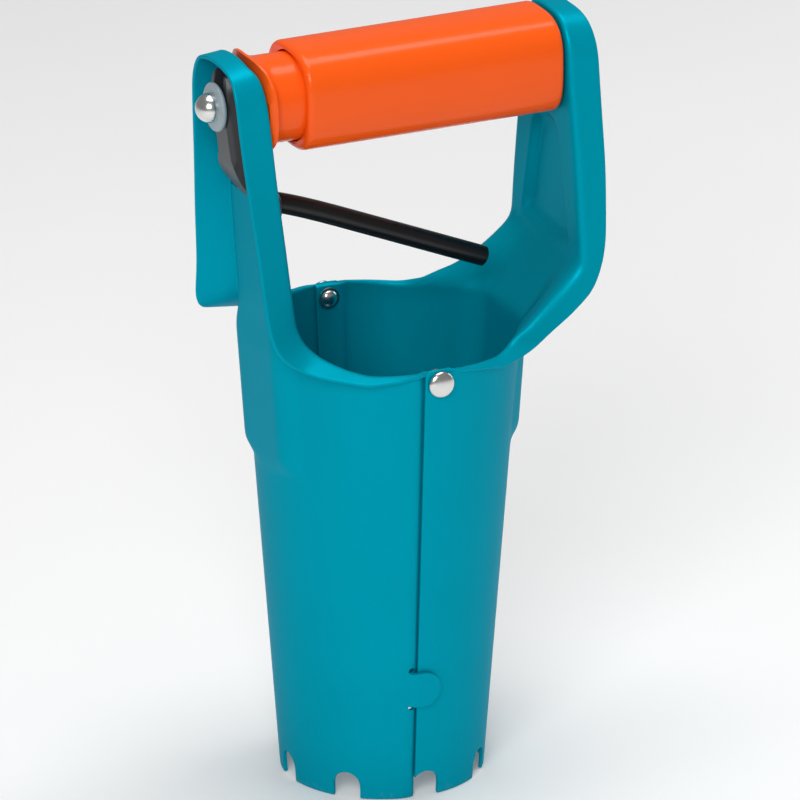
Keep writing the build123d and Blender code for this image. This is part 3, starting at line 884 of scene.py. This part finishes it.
def rod_rings(radius, segments):
    """Rings along the bent rod: straight ends and one long bend, with a flat, broken-edged end."""
    start, corner, tip = np.array([(-44.0, 197.9), (-28.8, 193.4), (35.6, 166.2)])
    along = np.array([0, 0.4, 0.55, 0.62, 0.69, 0.76, 0.83, 0.9, 1.0])
    first = start + (corner - start) * (along * 0.5)[:, None]
    t = np.linspace(0, 1, 14)[1:, None]
    a = start + (corner - start) * 0.5
    b = corner + (tip - corner) * 0.24
    curve = (1 - t) ** 2 * a + 2 * t * (1 - t) * corner + t**2 * b
    last = b + (tip - b) * np.array([0.2, 0.5, 0.8, 0.994, 1.0, 1.0])[:, None]
    line = np.concatenate([first, curve, last])
    size = np.full(len(line), radius)
    size[-2] = radius - 0.35
    size[-1] = 0.3
    heading = np.gradient(line, axis=0)
    heading[-3:] = tip - b
    heading /= np.linalg.norm(heading, axis=1, keepdims=True)
    side = np.stack([-heading[:, 1], heading[:, 0]], axis=1)
    turn = np.linspace(0, 2 * np.pi, segments, endpoint=False)
    x = line[:, :1] + size[:, None] * np.cos(turn) * side[:, :1]
    z = line[:, 1:] + size[:, None] * np.cos(turn) * side[:, 1:]
    y = size[:, None] * np.sin(turn)
    return np.stack([x, y, z], axis=-1)


class PLANTER_OT_lever(bpy.types.Operator):
    """Build the release lever and its bent rod"""

    bl_idname = "planter.lever"
    bl_label = "Lever"

    def execute(self, context):
        colours = context.scene.planter_colours
        lever = ringed_object("lever_plate", lever_sections(), 30)
        gap = block("rod_gap", (-60, -3.3, 229.5), (-40, 3.3, 250))
        hollow = block("hollow", (-52.6, -3.4, 217.5), (-40, 3.4, 226.0))
        carved(lever, [gap, hollow], 30)
        soft = lever.modifiers.new("Soft corners", "BEVEL")
        soft.width = 0.0005
        soft.segments = 2
        soft.limit_method = "ANGLE"
        soft.angle_limit = radians(28)
        dressed(frozen(lever), "lever_plastic", "lever", ["release_lever"], colours)
        tongue = ringed_object("lever_tongue", lever_tongue(), 40)
        dressed(tongue, "lever_plastic", "lever", [], colours)
        radius = context.scene.planter_sizes.rod_radius / MM
        rod = ringed_object("finger_rod", rod_rings(radius, 40), 40)
        dressed(rod, "black_rod", "lever", ["lever_rod"], colours)
        return {"FINISHED"}


class PLANTER_OT_fixings(bpy.types.Operator):
    """Build the dome, washers and nut of the tie rod, and dress the pieces inside the grip"""

    bl_idname = "planter.fixings"
    bl_label = "Fixings"

    def execute(self, context):
        colours = context.scene.planter_colours
        segments = context.scene.planter_sizes.segments
        axis_start = (0, 0, GRIP_Z)
        bend = np.linspace(0, np.pi / 2, 14)
        dome = [(-58.8 - 4.75 * np.cos(b), max(4.75 * np.sin(b), 0.05)) for b in bend]
        dome += [(-57.4, 4.75), (-57.2, 4.55), (-57.2, 2.4), (-59.1, 2.4), (-59.1, 0.05)]
        made = ringed_object("dome_nut", turned(dome, axis_start, (1, 0, 0), segments), 35)
        dressed(made, "bright_steel", "grip", ["rod_dome"], colours)
        ring = [(-58.0, 2.5), (-58.0, 7.1), (-57.85, 7.6), (-57.4, 7.85)]
        ring += [(-56.9, 7.8), (-56.5, 7.5), (-56.4, 7.0), (-56.4, 2.5)]
        made = torus_object("thrust_washer", turned(ring, axis_start, (1, 0, 0), segments), 40)
        dressed(made, "washer_plastic", "grip", ["pull_washer"], colours)
        ring = [(58.5, 2.5), (58.5, 6.3), (58.65, 6.5), (59.55, 6.5), (59.7, 6.3), (59.7, 2.5)]
        made = torus_object("end_washer", turned(ring, axis_start, (1, 0, 0), segments), 40)
        dressed(made, "bright_steel", "grip", ["rod_washer"], colours)
        dressed(nut_object(), "bright_steel", "grip", ["rod_nut"], colours)
        kept = {
            "tie_rod": "bright_steel",
            "return_spring": "spring_steel",
            "left_spring_seat": "washer_plastic",
            "right_spring_seat": "washer_plastic",
        }
        for name, slot in kept.items():
            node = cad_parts[name]
            node.data.materials.clear()
            node.data.materials.append(finish_for(slot, colours))
        return {"FINISHED"}


def nut_object():
    """Hexagon nut: the smaller of a six-sided prism and a cone at each end, round a bore."""
    turn = np.linspace(0, 2 * np.pi, 96, endpoint=False)
    sector = (turn + np.pi / 6) % (np.pi / 3) - np.pi / 6
    flat = 3.98 / np.cos(sector)
    x = np.array([59.7, 59.7, 59.95, 60.3, 63.1, 63.45, 63.7, 63.7])
    cap = np.array([2.5, 3.9, 4.3, 4.7, 4.7, 4.3, 3.9, 2.5])
    radius = np.minimum(flat[None], cap[:, None])
    y = radius * np.cos(turn)
    z = GRIP_Z + radius * np.sin(turn)
    rings = np.stack([np.broadcast_to(x[:, None], y.shape), y, z], axis=-1)
    return torus_object("hex_nut", rings, 25)


def pale(name, colour):
    """Floor finish: plain and pale, with the faintest mottling."""
    finish = Finish(name, Specular_IOR_Level=0.2)
    cloud = finish.noise(9, 3)
    base = finish.blend(cloud, shade(colour, 0.99), shade(colour, 1.01))
    return finish.finished(base, 0.7 + 0.1 * cloud, cloud, 0.0001, 0.02)


def soft_light(name, place, size, power, aim):
    """Square area light that faces a point."""
    data = bpy.data.lights.new(name, "AREA")
    data.size = size
    data.energy = power
    made = bpy.data.objects.new(name, data)
    made.location = place
    made.rotation_euler = (Vector(aim) - Vector(place)).to_track_quat("-Z", "Y").to_euler()
    bpy.context.scene.collection.objects.link(made)


class PLANTER_OT_stage(bpy.types.Operator):
    """Build the floor, the soft lights and the camera"""

    bl_idname = "planter.stage"
    bl_label = "Stage"

    def execute(self, context):
        stage = context.scene.planter_stage
        corners = 6000.0 * np.array([(-1, -1, 0), (1, -1, 0), (1, 1, 0), (-1, 1, 0)])
        floor = new_object("floor", corners, [(0, 1, 2, 3)], 30)
        floor.data.materials.append(pale("pale_floor", stage.floor))
        world = bpy.data.worlds.new("room")
        world.use_nodes = True
        world.node_tree.nodes["Background"].inputs["Color"].default_value = (1, 1, 1, 1)
        world.node_tree.nodes["Background"].inputs["Strength"].default_value = stage.surround
        context.scene.world = world
        aim = Vector((0.00639, 0.0, 0.1222))
        soft_light("key", (-0.9, -1.3, 1.1), 0.8, stage.key, aim)
        soft_light("edge", (1.3, 0.3, 0.5), 0.6, stage.key * 0.2, aim)
        soft_light("overhead", (0.1, 0.1, 1.55), 1.0, stage.key * 0.8, aim)
        context.scene.view_settings.view_transform = "Standard"
        data = bpy.data.cameras.new("camera")
        data.lens = 578.5
        data.sensor_width = 36
        data.clip_start = 0.05
        data.clip_end = 60
        camera = bpy.data.objects.new("camera", data)
        back = Vector((-0.3953, -0.844, 0.3628))
        distance = 4.0625
        camera.location = aim + back * distance
        camera.rotation_euler = (-back).to_track_quat("-Z", "Y").to_euler()
        context.scene.collection.objects.link(camera)
        context.scene.camera = camera
        return {"FINISHED"}


class PLANTER_PT_panel(bpy.types.Panel):
    """Steps of the planter's build"""

    bl_idname = "PLANTER_PT_panel"
    bl_label = "Bulb planter"
    bl_space_type = "VIEW_3D"
    bl_region_type = "UI"
    bl_category = "Planter"

    def draw(self, context):
        for operator in OPERATORS:
            self.layout.operator(operator.bl_idname)
        for group in ("planter_sizes", "planter_colours", "planter_stage"):
            settings = getattr(context.scene, group)
            for name in settings.__annotations__:
                self.layout.prop(settings, name)


OPERATORS = (
    PLANTER_OT_left_shell,
    PLANTER_OT_right_shell,
    PLANTER_OT_rivets,
    PLANTER_OT_grip,
    PLANTER_OT_lever,
    PLANTER_OT_fixings,
    PLANTER_OT_stage,
)
CLASSES = (PlanterColours, PlanterSizes, PlanterStage, *OPERATORS, PLANTER_PT_panel)


def register():
    for item in CLASSES:
        bpy.utils.register_class(item)
    bpy.types.Scene.planter_colours = PointerProperty(type=PlanterColours)
    bpy.types.Scene.planter_sizes = PointerProperty(type=PlanterSizes)
    bpy.types.Scene.planter_stage = PointerProperty(type=PlanterStage)


def unregister():
    del bpy.types.Scene.planter_stage
    del bpy.types.Scene.planter_sizes
    del bpy.types.Scene.planter_colours
    for item in reversed(CLASSES):
        bpy.utils.unregister_class(item)


def main():
    """Builds everything in order."""
    register()
    bpy.ops.planter.left_shell()
    bpy.ops.planter.right_shell()
    bpy.ops.planter.rivets()
    bpy.ops.planter.grip()
    bpy.ops.planter.lever()
    bpy.ops.planter.fixings()
    bpy.ops.planter.stage()


if __name__ == "__main__":
    main()
